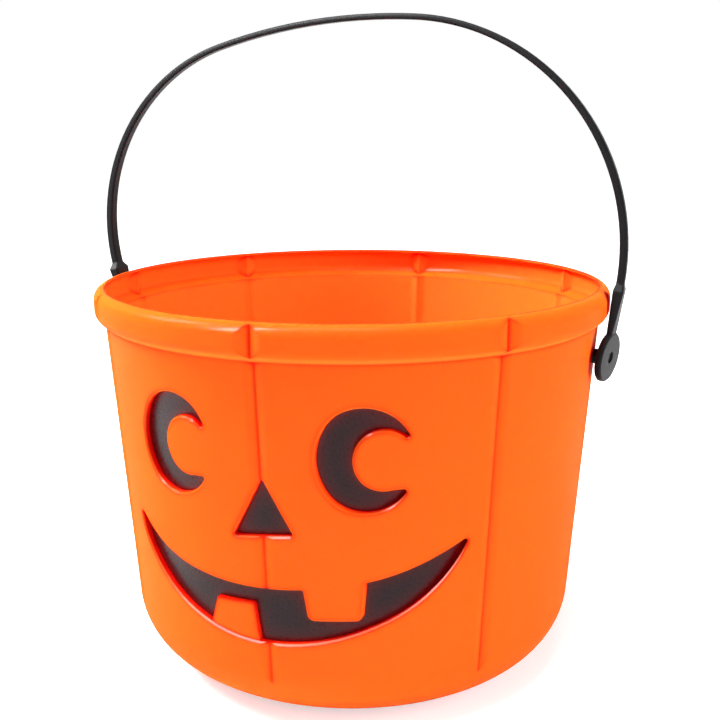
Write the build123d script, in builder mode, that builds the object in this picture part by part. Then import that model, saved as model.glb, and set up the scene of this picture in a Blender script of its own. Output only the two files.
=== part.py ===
from build123d import *
import os
from math import atan2, cos, degrees, hypot, radians, sin, tan

# Pumpkin candy pail in millimetres. The base stands on Z = 0 with its centre at the origin, the face looks
# towards -Y and the handle turns about a line along X. Angles round the pail count from the face towards +X.

# Pail shell
PAIL_HEIGHT = 160.0
RIM_RADIUS = 108.0
WALL = 1.2
WALL_TAPER = 4.2
RIM_BAND_HEIGHT = 14.0
RIM_OVERHANG = 4.2
RIM_UNDERSIDE_RISE = 3.2
RIM_LOWER_ROUND = 5.0
RIM_TOP_ROUND = 4.5
LIP_WIDTH = 4.8
BASE_ROUND = 30.0
BASE_RING_WIDTH = 13.2
BASE_PANEL_RISE = 2.0
BASE_PANEL_SLOPE = 4.0

# Panel grooves on the wall, and the notches that carry them across the rim
GROOVE_ANGLES = (0, 50, 90, 130, 180, 230, 270, 310)
GROOVE_WIDTH = 8.5
GROOVE_DEPTH = 1.3
GROOVE_FLANK_ROUND = 9.0
NOTCH_WIDTH = 12.0
NOTCH_DEPTH = 2.4
NOTCH_FLANK_ROUND = 11.0
CUTTER_HEIGHT = 4.0

# Face pressed into the front panels. The points are across the pail and up from its base.
FACE_DEPTH = 3.0
FACE_EDGE_CUT = 0.7
PAINT_THICKNESS = 0.2
PAINT_MARGIN = 0.1
EYE_OFFSET = 36.8
EYE_BELOW_RIM = 15.6
EYE_HALF_WIDTH = 16.6
EYE_HALF_HEIGHT = 19.6
PUPIL_SHIFT = 6.3
PUPIL_HALF_WIDTH = 10.2
PUPIL_HALF_HEIGHT = 11.4
# Cut that opens the ring of the eye: two lines from the pupil out through the tips, from the eye's middle
UPPER_CUT_START = (8.8, 10.9)
UPPER_TIP = (15.7, 6.7)
LOWER_CUT_START = (6.3, -11.2)
LOWER_TIP = (13.8, -10.8)
EYE_TIP_ROUND = 0.9
NOSE = ((0.6, 103.0), (11.6, 81.6), (-12.2, 79.2))
NOSE_CORNER_ROUND = 0.8
# Corners of the mouth, the lowest point of each lip, and the points where a lip bends up towards a corner
MOUTH_LEFT = (-62.1, 76.3)
MOUTH_RIGHT = (69.4, 79.0)
UPPER_LIP_LOW = (-8.0, 59.3)
UPPER_LIP_LEFT = (-34.0, 61.7)
UPPER_LIP_RIGHT = (36.4, 64.0)
LOWER_LIP_LOW = (-2.0, 37.1)
LOWER_LIP_LEFT = (-36.3, 45.0)
LOWER_LIP_FAR_LEFT = (-56.5, 61.0)
LOWER_LIP_RIGHT = (43.4, 48.4)
LOWER_TOOTH = ((-27.5, 32.0), (-21.4, 51.9), (-5.4, 52.6), (-3.0, 32.0))
LOWER_TOOTH_DEPTH = 0.8
UPPER_TOOTH = ((13.0, 68.0), (15.6, 48.2), (34.6, 48.6), (36.8, 72.0))
UPPER_TOOTH_ROUND = 2.6
LOWER_TOOTH_ROUND = 0.8
MOUTH_CORNER_ROUND = 0.8

# Handle and its pivots. The soft strap leans over a little, so each side of its arch has its own lean.
PIVOT_BELOW_RIM = 12.8
HANDLE_TOP = 268.1
RIGHT_LEAN = 7.2
LEFT_LEAN = 12.4
ARCH_SHIFT = 10.6
TOP_ARC_RADIUS = 243.0
STRAP_THICKNESS = 2.3
STRAP_WIDTH = 4.0
STRAP_CORNER = 0.5
STRAP_FOOT_THICKNESS = 3.2
STRAP_FOOT_WIDTH = 5.2
SHANK_LENGTH = 30.0
SHANK_SHOULDER = 2.5
SHANK_TOP_THICKNESS = 4.3
SHANK_TOP_WIDTH = 10.4
SHANK_NECK_WIDTH = 6.0
SHANK_NECK_THICKNESS = 2.2
SHANK_CORNER = 0.6
SHANK_SINK = 2.0
DISC_RADIUS = 10.2
DISC_THICKNESS = 2.8
DISC_EDGE = 0.6
DISC_STANDOFF = 5.5
DISC_TURN = -15.0
DIMPLE_RADIUS = 2.4
DIMPLE_DEPTH = 0.7
STUD_RADIUS = 3.0
STUD_CLEARANCE = 0.08
STUD_HEAD_RADIUS = 4.6
STUD_HEAD_LENGTH = 3.6
STUD_HEAD_GAP = 0.7
STUD_TIP_RADIUS = 2.4

os.makedirs("parts", exist_ok=True)

# Places worked out from the sizes above
taper = tan(radians(WALL_TAPER))
band_bottom = PAIL_HEIGHT - RIM_BAND_HEIGHT
wall_top_radius = RIM_RADIUS - RIM_OVERHANG
wall_foot_radius = wall_top_radius - band_bottom * taper
lip_radius = RIM_RADIUS - LIP_WIDTH
base_ring_radius = wall_foot_radius - BASE_ROUND * tan(radians((90 - WALL_TAPER) / 2)) - BASE_RING_WIDTH
eye_height = band_bottom - EYE_BELOW_RIM - EYE_HALF_HEIGHT
pivot_height = band_bottom - PIVOT_BELOW_RIM

with BuildLine() as outside:
    Line((0, BASE_PANEL_RISE), (base_ring_radius - BASE_PANEL_SLOPE, BASE_PANEL_RISE))
    Line((base_ring_radius - BASE_PANEL_SLOPE, BASE_PANEL_RISE), (base_ring_radius, 0))
    FilletPolyline(
        (base_ring_radius, 0),
        (wall_foot_radius, 0),
        (wall_top_radius, band_bottom),
        radius=BASE_ROUND,
    )
    FilletPolyline(
        (wall_top_radius, band_bottom),
        (RIM_RADIUS, band_bottom + RIM_UNDERSIDE_RISE),
        (RIM_RADIUS, PAIL_HEIGHT),
        (lip_radius, PAIL_HEIGHT),
        radius=(RIM_LOWER_ROUND, RIM_TOP_ROUND),
    )

inside_line = offset(outside.line, amount=WALL, side=Side.LEFT, kind=Kind.INTERSECTION, closed=False)


def wall_cone(inset):
    """The tapering wall's outside, moved inward by inset, as a full cone."""
    shift = inset / cos(radians(WALL_TAPER))
    foot_radius = wall_foot_radius - shift
    top_radius = wall_top_radius - shift
    with BuildPart() as cone:
        Cone(foot_radius, top_radius, band_bottom, align=(Align.CENTER, Align.CENTER, Align.MIN))
    return cone.part


def pressed_in(outline, depth, margin):
    """What lies outside the wall at the given depth, over an outline of the face grown by margin."""
    with BuildPart() as pressed:
        with BuildSketch(Plane.XZ):
            add(outline)
            if margin != 0:
                offset(amount=margin, mode=Mode.REPLACE)
        extrude(amount=RIM_RADIUS)
        add(wall_cone(depth), mode=Mode.SUBTRACT)
    return pressed.part


def valley(width, depth, flank_round, grown):
    """Section of a groove: two rounded flanks that meet in a sharp bottom, grown all round by grown."""
    half = width / 2
    with BuildSketch() as section:
        with BuildLine():
            RadiusArc((0, depth), (half, 0), -flank_round)
            Polyline((half, 0), (half, -CUTTER_HEIGHT), (-half, -CUTTER_HEIGHT), (-half, 0))
            RadiusArc((-half, 0), (0, depth), -flank_round)
        make_face()
        if grown != 0:
            offset(amount=grown, mode=Mode.REPLACE)
    return section.sketch


def panel_line(grown):
    """Cutter for the groove in the front and its notch, grown all round by the wall for the ridge inside."""
    groove = valley(GROOVE_WIDTH, GROOVE_DEPTH, GROOVE_FLANK_ROUND, grown)
    notch = valley(NOTCH_WIDTH, NOTCH_DEPTH, NOTCH_FLANK_ROUND, grown)
    with BuildPart() as cutter:
        with BuildSketch(Plane((0, -wall_foot_radius, 0), x_dir=(1, 0, 0), z_dir=(0, -taper, 1))):
            add(groove)
        extrude(amount=band_bottom + grown)
        with BuildSketch(Plane((0, -RIM_RADIUS, band_bottom), x_dir=(1, 0, 0), z_dir=(0, 0, 1))):
            add(notch)
        extrude(amount=RIM_BAND_HEIGHT + WALL)
    return cutter.part


def oval(half_width, half_height):
    """Oval of four arcs that keeps close to an ellipse, about the origin."""
    end_round = (half_width**2 / half_height + half_width) / 2
    end_middle = half_height - end_round
    side_round = (half_width**2 + end_middle**2 - end_round**2) / (2 * (half_width - end_round))
    side_middle = side_round - half_width
    reach = end_round / hypot(side_middle, end_middle)
    join = (side_middle * reach, end_middle * (1 + reach))
    with BuildSketch() as shape:
        with BuildLine():
            ThreePointArc((join[0], -join[1]), (half_width, 0), join)
            ThreePointArc(join, (0, half_height), (-join[0], join[1]))
            ThreePointArc((-join[0], join[1]), (-half_width, 0), (-join[0], -join[1]))
            ThreePointArc((-join[0], -join[1]), (0, -half_height), (join[0], -join[1]))
        make_face()
    return shape.sketch


def tangent_arcs(heading, *points):
    """Arcs through the points one after another, each going on from the last without a corner."""
    for start, end in zip(points, points[1:]):
        heading = TangentArc(start, end, tangent=heading) % 1


def eye(middle):
    """Open ring of an eye about its middle across the pail, as a sketch in the plane of the face."""
    outer = oval(EYE_HALF_WIDTH, EYE_HALF_HEIGHT)
    pupil = oval(PUPIL_HALF_WIDTH, PUPIL_HALF_HEIGHT)
    upper_end = (2 * UPPER_TIP[0] - UPPER_CUT_START[0], 2 * UPPER_TIP[1] - UPPER_CUT_START[1])
    lower_end = (2 * LOWER_TIP[0] - LOWER_CUT_START[0], 2 * LOWER_TIP[1] - LOWER_CUT_START[1])
    with BuildSketch() as ring:
        add(outer)
        add(pupil.moved(Location((PUPIL_SHIFT, 0, 0))), mode=Mode.SUBTRACT)
        with BuildLine():
            Polyline(UPPER_CUT_START, upper_end, lower_end, LOWER_CUT_START, close=True)
        make_face(mode=Mode.SUBTRACT)
        offset(amount=-EYE_TIP_ROUND, mode=Mode.REPLACE)
        offset(amount=EYE_TIP_ROUND, mode=Mode.REPLACE)
    return ring.sketch.moved(Location((middle, eye_height, 0)))


left_eye = eye(-EYE_OFFSET)
right_eye = eye(EYE_OFFSET)

with BuildSketch() as nose:
    with BuildLine():
        Polyline(*NOSE, close=True)
    make_face()
    fillet(nose.vertices(), NOSE_CORNER_ROUND)

with BuildSketch() as lips:
    with BuildLine():
        tangent_arcs((1, 0), UPPER_LIP_LOW, UPPER_LIP_RIGHT, MOUTH_RIGHT)
        tangent_arcs((-1, 0), UPPER_LIP_LOW, UPPER_LIP_LEFT, MOUTH_LEFT)
        tangent_arcs((1, 0), LOWER_LIP_LOW, LOWER_LIP_RIGHT, MOUTH_RIGHT)
        tangent_arcs((-1, 0), LOWER_LIP_LOW, LOWER_LIP_LEFT, LOWER_LIP_FAR_LEFT, MOUTH_LEFT)
    make_face()

with BuildSketch() as upper_tooth:
    with BuildLine():
        Polyline(*UPPER_TOOTH, close=True)
    make_face()
    fillet(upper_tooth.vertices().sort_by(Axis.Y)[:2], UPPER_TOOTH_ROUND)

with BuildSketch() as lower_tooth:
    with BuildLine():
        Polyline(*LOWER_TOOTH, close=True)
    make_face()
    fillet(lower_tooth.vertices().sort_by(Axis.Y)[-2:], LOWER_TOOTH_ROUND)

with BuildSketch() as open_mouth:
    add(lips.sketch)
    add(upper_tooth.sketch, mode=Mode.SUBTRACT)
    offset(amount=-MOUTH_CORNER_ROUND, mode=Mode.REPLACE)
    offset(amount=2 * MOUTH_CORNER_ROUND, mode=Mode.REPLACE)
    offset(amount=-MOUTH_CORNER_ROUND, mode=Mode.REPLACE)

with BuildSketch() as mouth:
    add(open_mouth.sketch)
    add(lower_tooth.sketch, mode=Mode.SUBTRACT)

# The lower tooth stands a little below the wall, so the open mouth is pressed in twice
eyes_and_nose = (left_eye, right_eye, nose.sketch)
first_recesses = [pressed_in(outline, FACE_DEPTH, 0) for outline in eyes_and_nose]
first_recesses.append(pressed_in(open_mouth.sketch, LOWER_TOOTH_DEPTH, 0))
mouth_recess = pressed_in(mouth.sketch, FACE_DEPTH, 0)
bosses = [pressed_in(outline, FACE_DEPTH + WALL, WALL) for outline in (*eyes_and_nose, mouth.sketch)]
bosses.append(pressed_in(open_mouth.sketch, LOWER_TOOTH_DEPTH + WALL, WALL))
grooves = [panel_line(0).rotate(Axis.Z, angle) for angle in GROOVE_ANGLES]
ridges = [panel_line(WALL).rotate(Axis.Z, angle) for angle in GROOVE_ANGLES]

# Hollow of the pail, with the ridges and the bosses that stand into it behind the grooves and the face
with BuildPart() as hollow:
    with BuildSketch(Plane.XZ):
        with BuildLine():
            add(inside_line)
            Polyline(
                inside_line @ 0,
                (lip_radius, PAIL_HEIGHT + WALL),
                (0, PAIL_HEIGHT + WALL),
                inside_line @ 1,
            )
        make_face()
    revolve(axis=Axis.Z)
    add(ridges, mode=Mode.SUBTRACT)
    add(bosses, mode=Mode.SUBTRACT)

with BuildPart() as pail_shell:
    with BuildSketch(Plane.XZ):
        with BuildLine():
            add(outside.line)
            Polyline(outside.line @ 1, (0, PAIL_HEIGHT), outside.line @ 0)
        make_face()
    revolve(axis=Axis.Z)
    add(first_recesses, mode=Mode.SUBTRACT)
    wall_face = pail_shell.faces().filter_by(GeomType.CONE).sort_by(SortBy.AREA)[-1]
    chamfer(wall_face.inner_wires().edges(), FACE_EDGE_CUT)
    add(mouth_recess, mode=Mode.SUBTRACT)
    add(grooves, mode=Mode.SUBTRACT)
    add(hollow.part, mode=Mode.SUBTRACT)
    with Locations((0, 0, pivot_height)):
        Cylinder(STUD_RADIUS + STUD_CLEARANCE, 2 * RIM_RADIUS, rotation=(0, 90, 0), mode=Mode.SUBTRACT)
pail_shell.part.label = "pail_shell"
export_step(pail_shell.part, "parts/pail_shell.step")

paint_surface = wall_cone(FACE_DEPTH - PAINT_THICKNESS)
left_eye_floor = pressed_in(left_eye, FACE_DEPTH, -PAINT_MARGIN)
right_eye_floor = pressed_in(right_eye, FACE_DEPTH, -PAINT_MARGIN)
nose_floor = pressed_in(nose.sketch, FACE_DEPTH, -PAINT_MARGIN)
mouth_floor = pressed_in(mouth.sketch, FACE_DEPTH, -PAINT_MARGIN)

with BuildPart() as left_eye_paint:
    add(left_eye_floor)
    add(paint_surface, mode=Mode.INTERSECT)
left_eye_paint.part.label = "left_eye_paint"
export_step(left_eye_paint.part, "parts/left_eye_paint.step")

with BuildPart() as right_eye_paint:
    add(right_eye_floor)
    add(paint_surface, mode=Mode.INTERSECT)
right_eye_paint.part.label = "right_eye_paint"
export_step(right_eye_paint.part, "parts/right_eye_paint.step")

with BuildPart() as nose_paint:
    add(nose_floor)
    add(paint_surface, mode=Mode.INTERSECT)
nose_paint.part.label = "nose_paint"
export_step(nose_paint.part, "parts/nose_paint.step")

with BuildPart() as mouth_paint:
    add(mouth_floor)
    add(paint_surface, mode=Mode.INTERSECT)
mouth_paint.part.label = "mouth_paint"
export_step(mouth_paint.part, "parts/mouth_paint.step")

# Handle: the places that both of its sides share
pivot_wall_radius = wall_foot_radius + pivot_height * taper
disc_middle = pivot_wall_radius + DISC_STANDOFF
ridge_crest = pivot_wall_radius - (GROOVE_DEPTH + WALL) / cos(radians(WALL_TAPER))
head_outer = ridge_crest - STUD_HEAD_GAP
head_inner = head_outer - STUD_HEAD_LENGTH
arch_top = HANDLE_TOP - STRAP_THICKNESS / 2
top_arc_middle = arch_top - TOP_ARC_RADIUS


def cut_rectangle(width, thickness, corner):
    """Section of the strap or the shank: a rectangle with its corners cut off."""
    with BuildSketch() as section:
        Rectangle(width, thickness)
        chamfer(section.vertices(), corner)
    return section.sketch


def half_handle(lean, apex):
    """The handle's side at +X, from its stud to the top of the arch, which lies at apex across the pail."""
    lean_across = sin(radians(lean))
    lean_up = cos(radians(lean))
    foot = (disc_middle + SHANK_LENGTH * lean_across, pivot_height + SHANK_LENGTH * lean_up)

    # The side arc starts along the lean at the strap's foot and runs into the top arc
    foot_reach = foot[0] - apex
    foot_rise = foot[1] - top_arc_middle
    span = TOP_ARC_RADIUS**2 - foot_reach**2 - foot_rise**2
    side_radius = span / (2 * (TOP_ARC_RADIUS - foot_reach * lean_up + foot_rise * lean_across))
    side_reach = foot_reach - side_radius * lean_up
    side_rise = foot_rise + side_radius * lean_across
    bend_scale = TOP_ARC_RADIUS / hypot(side_reach, side_rise)
    bend = (apex + side_reach * bend_scale, top_arc_middle + side_rise * bend_scale)
    top_turn = degrees(atan2(side_reach, side_rise))

    with BuildLine(Plane.XZ) as side_arc:
        TangentArc(foot, bend, tangent=(lean_across, lean_up))
    strap = cut_rectangle(STRAP_WIDTH, STRAP_THICKNESS, STRAP_CORNER)
    with BuildSketch(Plane(side_arc.line @ 0, x_dir=(0, 1, 0), z_dir=side_arc.line % 0)) as strap_foot:
        add(cut_rectangle(STRAP_FOOT_WIDTH, STRAP_FOOT_THICKNESS, STRAP_CORNER))
    with BuildSketch(Plane(side_arc.line @ 1, x_dir=(0, 1, 0), z_dir=side_arc.line % 1)) as strap_bend:
        add(strap)

    # The disc is turned a little about its shank
    pivot = (disc_middle, 0, pivot_height)
    shank_plane = Plane(pivot, x_dir=(0, 1, 0), z_dir=(lean_across, 0, lean_up))
    neck_plane = shank_plane.rotated((0, 0, DISC_TURN))
    disc_plane = Plane(pivot, x_dir=neck_plane.x_dir, z_dir=-neck_plane.y_dir)
    with BuildSketch(neck_plane.offset(DISC_RADIUS - SHANK_SINK)) as shank_neck:
        add(cut_rectangle(SHANK_NECK_WIDTH, SHANK_NECK_THICKNESS, SHANK_CORNER))
    with BuildSketch(shank_plane.offset(SHANK_LENGTH - SHANK_SHOULDER)) as shank_top:
        add(cut_rectangle(SHANK_TOP_WIDTH, SHANK_TOP_THICKNESS, SHANK_CORNER))

    with BuildPart() as half:
        with BuildSketch(disc_plane):
            Circle(DISC_RADIUS)
        extrude(amount=DISC_THICKNESS / 2, both=True)
        chamfer(half.edges().filter_by(GeomType.CIRCLE), DISC_EDGE)
        with BuildSketch(disc_plane.offset(DISC_THICKNESS / 2)):
            Circle(DIMPLE_RADIUS)
        extrude(amount=-DIMPLE_DEPTH, mode=Mode.SUBTRACT)
        loft(sections=[shank_neck.sketch, shank_top.sketch, strap_foot.sketch], ruled=True)
        with BuildSketch(Plane.XZ):
            with BuildLine():
                Polyline(
                    (head_inner, pivot_height),
                    (head_inner, pivot_height + STUD_TIP_RADIUS),
                    (head_outer, pivot_height + STUD_HEAD_RADIUS),
                    (head_outer, pivot_height + STUD_RADIUS),
                    (disc_middle, pivot_height + STUD_RADIUS),
                    (disc_middle, pivot_height),
                    close=True,
                )
            make_face()
        revolve(axis=Axis((0, 0, pivot_height), (1, 0, 0)))
        sweep(sections=[strap_foot.sketch, strap_bend.sketch], path=side_arc.line, multisection=True)
        with BuildSketch(Plane((apex, 0, arch_top), x_dir=(0, 1, 0), z_dir=(1, 0, 0))):
            add(strap)
        revolve(axis=Axis((apex, 0, top_arc_middle), (0, 1, 0)), revolution_arc=top_turn)
    return half.part


right_half = half_handle(RIGHT_LEAN, ARCH_SHIFT)
left_half = half_handle(LEFT_LEAN, -ARCH_SHIFT)

with BuildPart() as handle:
    add(right_half)
    add(left_half.rotate(Axis.Z, 180))
handle.part.label = "handle"
export_step(handle.part, "parts/handle.step")
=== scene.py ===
import math

import bpy
from mathutils import Matrix, Vector

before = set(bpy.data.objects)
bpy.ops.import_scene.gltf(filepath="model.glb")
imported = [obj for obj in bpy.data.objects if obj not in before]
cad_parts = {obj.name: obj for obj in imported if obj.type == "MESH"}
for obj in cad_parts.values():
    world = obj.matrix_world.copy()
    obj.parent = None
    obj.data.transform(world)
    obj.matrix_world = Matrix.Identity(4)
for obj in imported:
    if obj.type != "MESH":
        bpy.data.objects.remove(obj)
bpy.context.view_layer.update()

# Camera, measured from the photograph: angles in degrees, lengths in metres
AZIMUTH = 18.91
ELEVATION = 12.77
ROLL = -0.2
DISTANCE = 0.463
TARGET_HEIGHT = 0.12425
TARGET_SHIFT = 0.00319

# Lens and film width, in millimetres
LENS = 53.11
SENSOR = 36.0

# Studio: lengths in metres, strengths as shares of white
WHITE = (1.0, 1.0, 1.0)
WORLD_LIGHT = 0.15
LIGHT_AIM = (0.0, 0.0, 0.11)
FLOOR_SIZE = 8.0
FLOOR_DROP = 0.0005
GLOW_START = 0.12
GLOW_END = 0.5
GLOW_NEAR = 0.6
GLOW_FAR = 1.0

# Noise keeps near its middle, between these values
NOISE_LOW = 0.3
NOISE_HIGH = 0.7

# Orange plastic: linear colours, and lengths in metres
ORANGE_DEEP = (0.975, 0.120, 0.0075)
ORANGE_LIGHT = (0.985, 0.130, 0.0095)
# Painted light: faces turned toward the axis are made a paler orange, standing in for light on the inside
ORANGE_PAINTED_INSIDE_LIGHT = (0.985, 0.185, 0.020)
# Painted shade: creases within this reach are reddened and darkened
CREASE_REACH = 0.0045
CREASE_PAINTED_SHADE = [(0.3, (0.95, 0.05, 0.4)), (0.58, (0.98, 0.16, 0.6)), (0.86, WHITE)]
# Painted shade: sharp edges within this reach are reddened and darkened
EDGE_REACH = 0.003
EDGE_PAINTED_SHADE = [(0.84, (1.0, 0.12, 0.4)), (0.99, WHITE)]
INWARD_START = -0.005
INWARD_FULL = -0.05

# Black paint, with a painted maroon reflection of its recess walls: lengths in metres, and openness from 0 to
# 1
PAINT_WALL_REFLECTION = (0.16, 0.002, 0.003)
WALL_REFLECTION_REACH = 0.007
WALL_REFLECTION_START = 0.95
WALL_REFLECTION_FULL = 0.5

scene = bpy.context.scene
scene.view_settings.view_transform = "Standard"


def new_material(name):
    """An empty node material with its output and a Principled shader joined up."""
    material = bpy.data.materials.new(name)
    material.use_nodes = True
    nodes = material.node_tree.nodes
    nodes.clear()
    shader = nodes.new("ShaderNodeBsdfPrincipled")
    output = nodes.new("ShaderNodeOutputMaterial")
    material.node_tree.links.new(shader.outputs["BSDF"], output.inputs["Surface"])
    return material, nodes, material.node_tree.links, shader


def noise(nodes, links, coords, scale, detail, roughness=0.5):
    """A noise texture in object coordinates."""
    texture = nodes.new("ShaderNodeTexNoise")
    texture.inputs["Scale"].default_value = scale
    texture.inputs["Detail"].default_value = detail
    texture.inputs["Roughness"].default_value = roughness
    links.new(coords.outputs["Object"], texture.inputs["Vector"])
    return texture.outputs["Fac"]


def ramp(nodes, links, factor, stops):
    """A colour ramp from (place, colour) pairs."""
    node = nodes.new("ShaderNodeValToRGB")
    elements = node.color_ramp.elements
    while len(elements) < len(stops):
        elements.new(0.5)
    for element, (place, colour) in zip(elements, stops):
        element.position = place
        element.color = (*colour, 1.0)
    links.new(factor, node.inputs["Fac"])
    return node.outputs["Color"]


def mottle(nodes, links, factor, low_colour, high_colour):
    """Noise turned into a colour between two."""
    return ramp(nodes, links, factor, [(NOISE_LOW, low_colour), (NOISE_HIGH, high_colour)])


def spread(nodes, links, factor, low, high):
    """Noise stretched to run from low to high."""
    node = nodes.new("ShaderNodeMapRange")
    node.inputs["From Min"].default_value = NOISE_LOW
    node.inputs["From Max"].default_value = NOISE_HIGH
    node.inputs["To Min"].default_value = low
    node.inputs["To Max"].default_value = high
    links.new(factor, node.inputs["Value"])
    return node.outputs["Result"]


def share(nodes, links, value, start, full):
    """0 where a value is at start, rising to 1 where it is at full."""
    node = nodes.new("ShaderNodeMapRange")
    node.inputs["From Min"].default_value = start
    node.inputs["From Max"].default_value = full
    links.new(value, node.inputs["Value"])
    return node.outputs["Result"]


def blend(nodes, links, factor, first, last):
    """A colour that goes over to the fixed colour last as the factor goes from 0 to 1."""
    node = nodes.new("ShaderNodeMix")
    node.data_type = "RGBA"
    node.inputs["B"].default_value = (*last, 1.0)
    links.new(factor, node.inputs["Factor"])
    links.new(first, node.inputs["A"])
    return node.outputs["Result"]


def multiply(nodes, links, first, second):
    """The product of two colours."""
    node = nodes.new("ShaderNodeMix")
    node.data_type = "RGBA"
    node.blend_type = "MULTIPLY"
    node.inputs["Factor"].default_value = 1.0
    links.new(first, node.inputs["A"])
    links.new(second, node.inputs["B"])
    return node.outputs["Result"]


def softened(nodes, radius, samples):
    """The surface's normal with edges rounded by radius."""
    node = nodes.new("ShaderNodeBevel")
    node.samples = samples
    node.inputs["Radius"].default_value = radius
    return node.outputs["Normal"]


def bump(nodes, links, height, distance, strength, edge_round):
    """A bump from a height over edges softened by edge_round, for the shader's normal."""
    node = nodes.new("ShaderNodeBump")
    node.inputs["Distance"].default_value = distance
    node.inputs["Strength"].default_value = strength
    links.new(height, node.inputs["Height"])
    links.new(softened(nodes, edge_round, samples=4), node.inputs["Normal"])
    return node.outputs["Normal"]


def edges(nodes, links, radius):
    """1 on even surfaces, and less within radius of a sharp edge."""
    surface = nodes.new("ShaderNodeNewGeometry")
    match = nodes.new("ShaderNodeVectorMath")
    match.operation = "DOT_PRODUCT"
    links.new(softened(nodes, radius, samples=8), match.inputs[0])
    links.new(surface.outputs["Normal"], match.inputs[1])
    return match.outputs["Value"]


def creases(nodes, reach):
    """1 in the open, and less where other surfaces rise within reach."""
    node = nodes.new("ShaderNodeAmbientOcclusion")
    node.samples = 8
    node.inputs["Distance"].default_value = reach
    return node.outputs["AO"]


def inside(nodes, links, coords):
    """1 on surfaces that face the axis, 0 on those that face away from it."""
    outward = nodes.new("ShaderNodeVectorMath")
    outward.operation = "DOT_PRODUCT"
    links.new(coords.outputs["Object"], outward.inputs[0])
    links.new(coords.outputs["Normal"], outward.inputs[1])
    return share(nodes, links, outward.outputs["Value"], INWARD_START, INWARD_FULL)


def orange_plastic():
    """Moulded orange plastic with a soft gloss, with painted light making it paler inside and painted shade
    making it red in creases and along edges.
    """
    material, nodes, links, shader = new_material("orange_plastic")
    coords = nodes.new("ShaderNodeTexCoord")
    flow = noise(nodes, links, coords, scale=9.0, detail=3.0)
    colour = mottle(nodes, links, flow, ORANGE_DEEP, ORANGE_LIGHT)
    # Painted light: the inside faces are lightened toward a paler orange
    inside_lightened = blend(nodes, links, inside(nodes, links, coords), colour, ORANGE_PAINTED_INSIDE_LIGHT)
    # Painted shade: occluded creases, notches and corners turn red and darker
    painted_crease_shade = ramp(nodes, links, creases(nodes, CREASE_REACH), CREASE_PAINTED_SHADE)
    # Painted shade: sharp edges and recess walls turn red
    painted_edge_shade = ramp(nodes, links, edges(nodes, links, EDGE_REACH), EDGE_PAINTED_SHADE)
    crease_shaded = multiply(nodes, links, inside_lightened, painted_crease_shade)
    links.new(multiply(nodes, links, crease_shaded, painted_edge_shade), shader.inputs["Base Color"])
    wear = noise(nodes, links, coords, scale=60.0, detail=4.0)
    links.new(spread(nodes, links, wear, low=0.27, high=0.33), shader.inputs["Roughness"])
    peel = noise(nodes, links, coords, scale=420.0, detail=2.0)
    skin = bump(nodes, links, peel, distance=0.0002, strength=0.04, edge_round=0.0022)
    links.new(skin, shader.inputs["Normal"])
    shader.inputs["Specular IOR Level"].default_value = 0.0
    shader.inputs["Coat Weight"].default_value = 0.06
    shader.inputs["Coat Roughness"].default_value = 0.22
    shader.inputs["Subsurface Weight"].default_value = 0.5
    shader.inputs["Subsurface Radius"].default_value = (1.0, 0.2, 0.05)
    shader.inputs["Subsurface Scale"].default_value = 0.0025
    return material


def black_paint():
    """Satin black paint with a fine sprayed grain, and a painted maroon reflection beside the walls of its
    recess.
    """
    material, nodes, links, shader = new_material("black_paint")
    coords = nodes.new("ShaderNodeTexCoord")
    cloud = noise(nodes, links, coords, scale=60.0, detail=4.0)
    colour = mottle(nodes, links, cloud, low_colour=(0.011, 0.002, 0.003), high_colour=(0.015, 0.004, 0.006))
    # Painted reflection: beside the recess walls the black turns maroon, as if it mirrored the orange walls
    painted_wall_reflection = share(nodes, links, creases(nodes, WALL_REFLECTION_REACH), WALL_REFLECTION_START, WALL_REFLECTION_FULL)
    links.new(blend(nodes, links, painted_wall_reflection, colour, PAINT_WALL_REFLECTION), shader.inputs["Base Color"])
    speck = noise(nodes, links, coords, scale=900.0, detail=3.0, roughness=0.6)
    links.new(spread(nodes, links, speck, low=0.24, high=0.36), shader.inputs["Roughness"])
    skin = bump(nodes, links, speck, distance=0.0004, strength=0.35, edge_round=0.0003)
    links.new(skin, shader.inputs["Normal"])
    shader.inputs["Specular IOR Level"].default_value = 0.14
    return material


def black_plastic():
    """Black moulded plastic of the handle, satin with a fine grain."""
    material, nodes, links, shader = new_material("black_plastic")
    coords = nodes.new("ShaderNodeTexCoord")
    cloud = noise(nodes, links, coords, scale=40.0, detail=3.0)
    colour = mottle(nodes, links, cloud, low_colour=(0.006, 0.006, 0.0075), high_colour=(0.010, 0.009, 0.011))
    links.new(colour, shader.inputs["Base Color"])
    grain = noise(nodes, links, coords, scale=1200.0, detail=3.0)
    links.new(spread(nodes, links, grain, low=0.36, high=0.46), shader.inputs["Roughness"])
    skin = bump(nodes, links, grain, distance=0.0002, strength=0.15, edge_round=0.0012)
    links.new(skin, shader.inputs["Normal"])
    shader.inputs["Specular IOR Level"].default_value = 0.08
    return material


def seen(nodes, links):
    """1 for rays from the camera, from gloss and through glass, which see the white backdrop, else 0."""
    path = nodes.new("ShaderNodeLightPath")
    shiny = nodes.new("ShaderNodeMath")
    shiny.operation = "MAXIMUM"
    links.new(path.outputs["Is Glossy Ray"], shiny.inputs[0])
    links.new(path.outputs["Is Transmission Ray"], shiny.inputs[1])
    either = nodes.new("ShaderNodeMath")
    either.operation = "MAXIMUM"
    links.new(path.outputs["Is Camera Ray"], either.inputs[0])
    links.new(shiny.outputs["Value"], either.inputs[1])
    return either.outputs["Value"]


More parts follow.
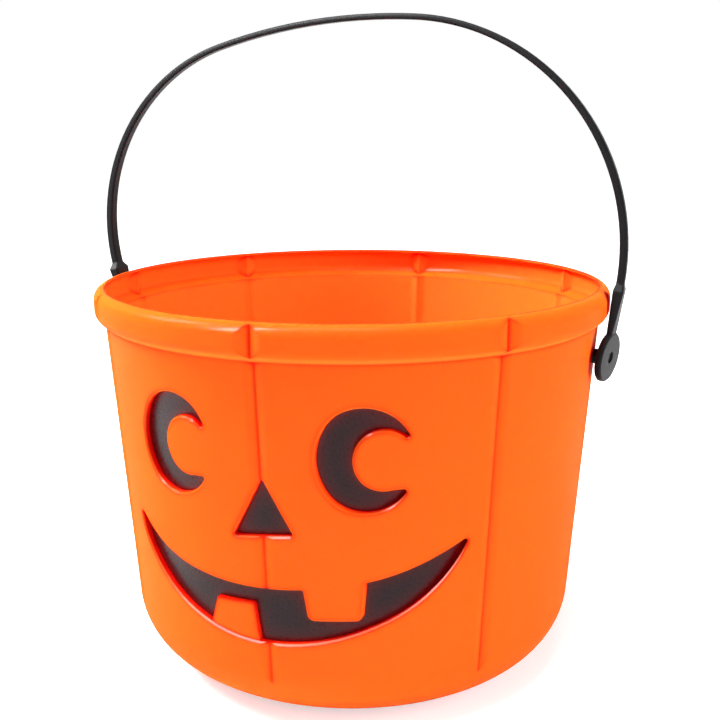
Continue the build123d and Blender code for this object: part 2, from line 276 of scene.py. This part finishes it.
def floor_material():
    """Pale floor. Where it is seen it glows, weakly near the object to keep the shadow, and fully far off."""
    material, nodes, links, shader = new_material("floor")
    shader.inputs["Roughness"].default_value = 0.9
    shader.inputs["Specular IOR Level"].default_value = 0.1
    coords = nodes.new("ShaderNodeTexCoord")
    grain = noise(nodes, links, coords, scale=30.0, detail=3.0)
    colour = mottle(nodes, links, grain, low_colour=(0.80, 0.80, 0.80), high_colour=(0.82, 0.82, 0.82))
    links.new(colour, shader.inputs["Base Color"])
    away = nodes.new("ShaderNodeVectorMath")
    away.operation = "LENGTH"
    links.new(coords.outputs["Object"], away.inputs[0])
    fade = nodes.new("ShaderNodeMapRange")
    fade.inputs["From Min"].default_value = GLOW_START
    fade.inputs["From Max"].default_value = GLOW_END
    fade.inputs["To Min"].default_value = GLOW_NEAR
    fade.inputs["To Max"].default_value = GLOW_FAR
    links.new(away.outputs["Value"], fade.inputs["Value"])
    glow = nodes.new("ShaderNodeMath")
    glow.operation = "MULTIPLY"
    links.new(seen(nodes, links), glow.inputs[0])
    links.new(fade.outputs["Result"], glow.inputs[1])
    shader.inputs["Emission Color"].default_value = (*WHITE, 1.0)
    links.new(glow.outputs["Value"], shader.inputs["Emission Strength"])
    return material


def white_world():
    """White where it is seen, and an even, weaker light for everything else."""
    world = bpy.data.worlds.new("studio")
    scene.world = world
    world.use_nodes = True
    nodes, links = world.node_tree.nodes, world.node_tree.links
    background = nodes["Background"]
    background.inputs["Color"].default_value = (*WHITE, 1.0)
    strength = nodes.new("ShaderNodeMapRange")
    strength.inputs["To Min"].default_value = WORLD_LIGHT
    strength.inputs["To Max"].default_value = 1.0
    links.new(seen(nodes, links), strength.inputs["Value"])
    links.new(strength.outputs["Result"], background.inputs["Strength"])


def softbox(name, place, width, height, power):
    """A rectangular soft light at a place, turned towards the object, with its power in watts."""
    data = bpy.data.lights.new(name, "AREA")
    data.shape = "RECTANGLE"
    data.size = width
    data.size_y = height
    data.energy = power
    light = bpy.data.objects.new(name, data)
    light.location = place
    light.rotation_euler = (Vector(LIGHT_AIM) - Vector(place)).to_track_quat("-Z", "Y").to_euler()
    scene.collection.objects.link(light)
    return light


def add_camera():
    """The camera at the photograph's viewing angle."""
    azimuth, elevation = math.radians(AZIMUTH), math.radians(ELEVATION)
    right = Vector((math.cos(azimuth), math.sin(azimuth), 0.0))
    front = Vector((math.sin(azimuth), -math.cos(azimuth), 0.0))
    back = front * math.cos(elevation) + Vector((0.0, 0.0, math.sin(elevation)))
    data = bpy.data.cameras.new("camera")
    data.lens = LENS
    data.sensor_width = SENSOR
    camera = bpy.data.objects.new("camera", data)
    camera.location = Vector((0.0, 0.0, TARGET_HEIGHT)) + right * TARGET_SHIFT + back * DISTANCE
    turn = (-back).to_track_quat("-Z", "Y").to_matrix() @ Matrix.Rotation(math.radians(ROLL), 3, "Z")
    camera.rotation_euler = turn.to_euler()
    scene.collection.objects.link(camera)
    scene.camera = camera


MATERIALS = {
    "pail_shell": orange_plastic(),
    "handle": black_plastic(),
}
paint = black_paint()
for name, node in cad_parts.items():
    node.data.materials.clear()
    node.data.materials.append(MATERIALS.get(name, paint))

bpy.ops.mesh.primitive_plane_add(size=FLOOR_SIZE, location=(0.0, 0.0, -FLOOR_DROP))
floor = bpy.context.object
floor.name = "floor"
floor.data.materials.append(floor_material())

white_world()
softbox("key", place=(-0.94, -0.17, 0.97), width=0.45, height=0.45, power=28.0)
softbox("top", place=(0.0, -0.25, 1.4), width=0.6, height=0.5, power=17.0)
softbox("front", place=(0.1, -0.85, 0.95), width=0.7, height=0.5, power=1.2)
fill = softbox("fill", place=(1.1, -0.1, 0.5), width=0.8, height=0.8, power=8.5)
fill.visible_glossy = False
# The strip shows only as a streak in the gloss
strip = softbox("strip", place=(-0.55, -0.75, 0.95), width=0.12, height=0.9, power=110.0)
strip.visible_diffuse = False
add_camera()
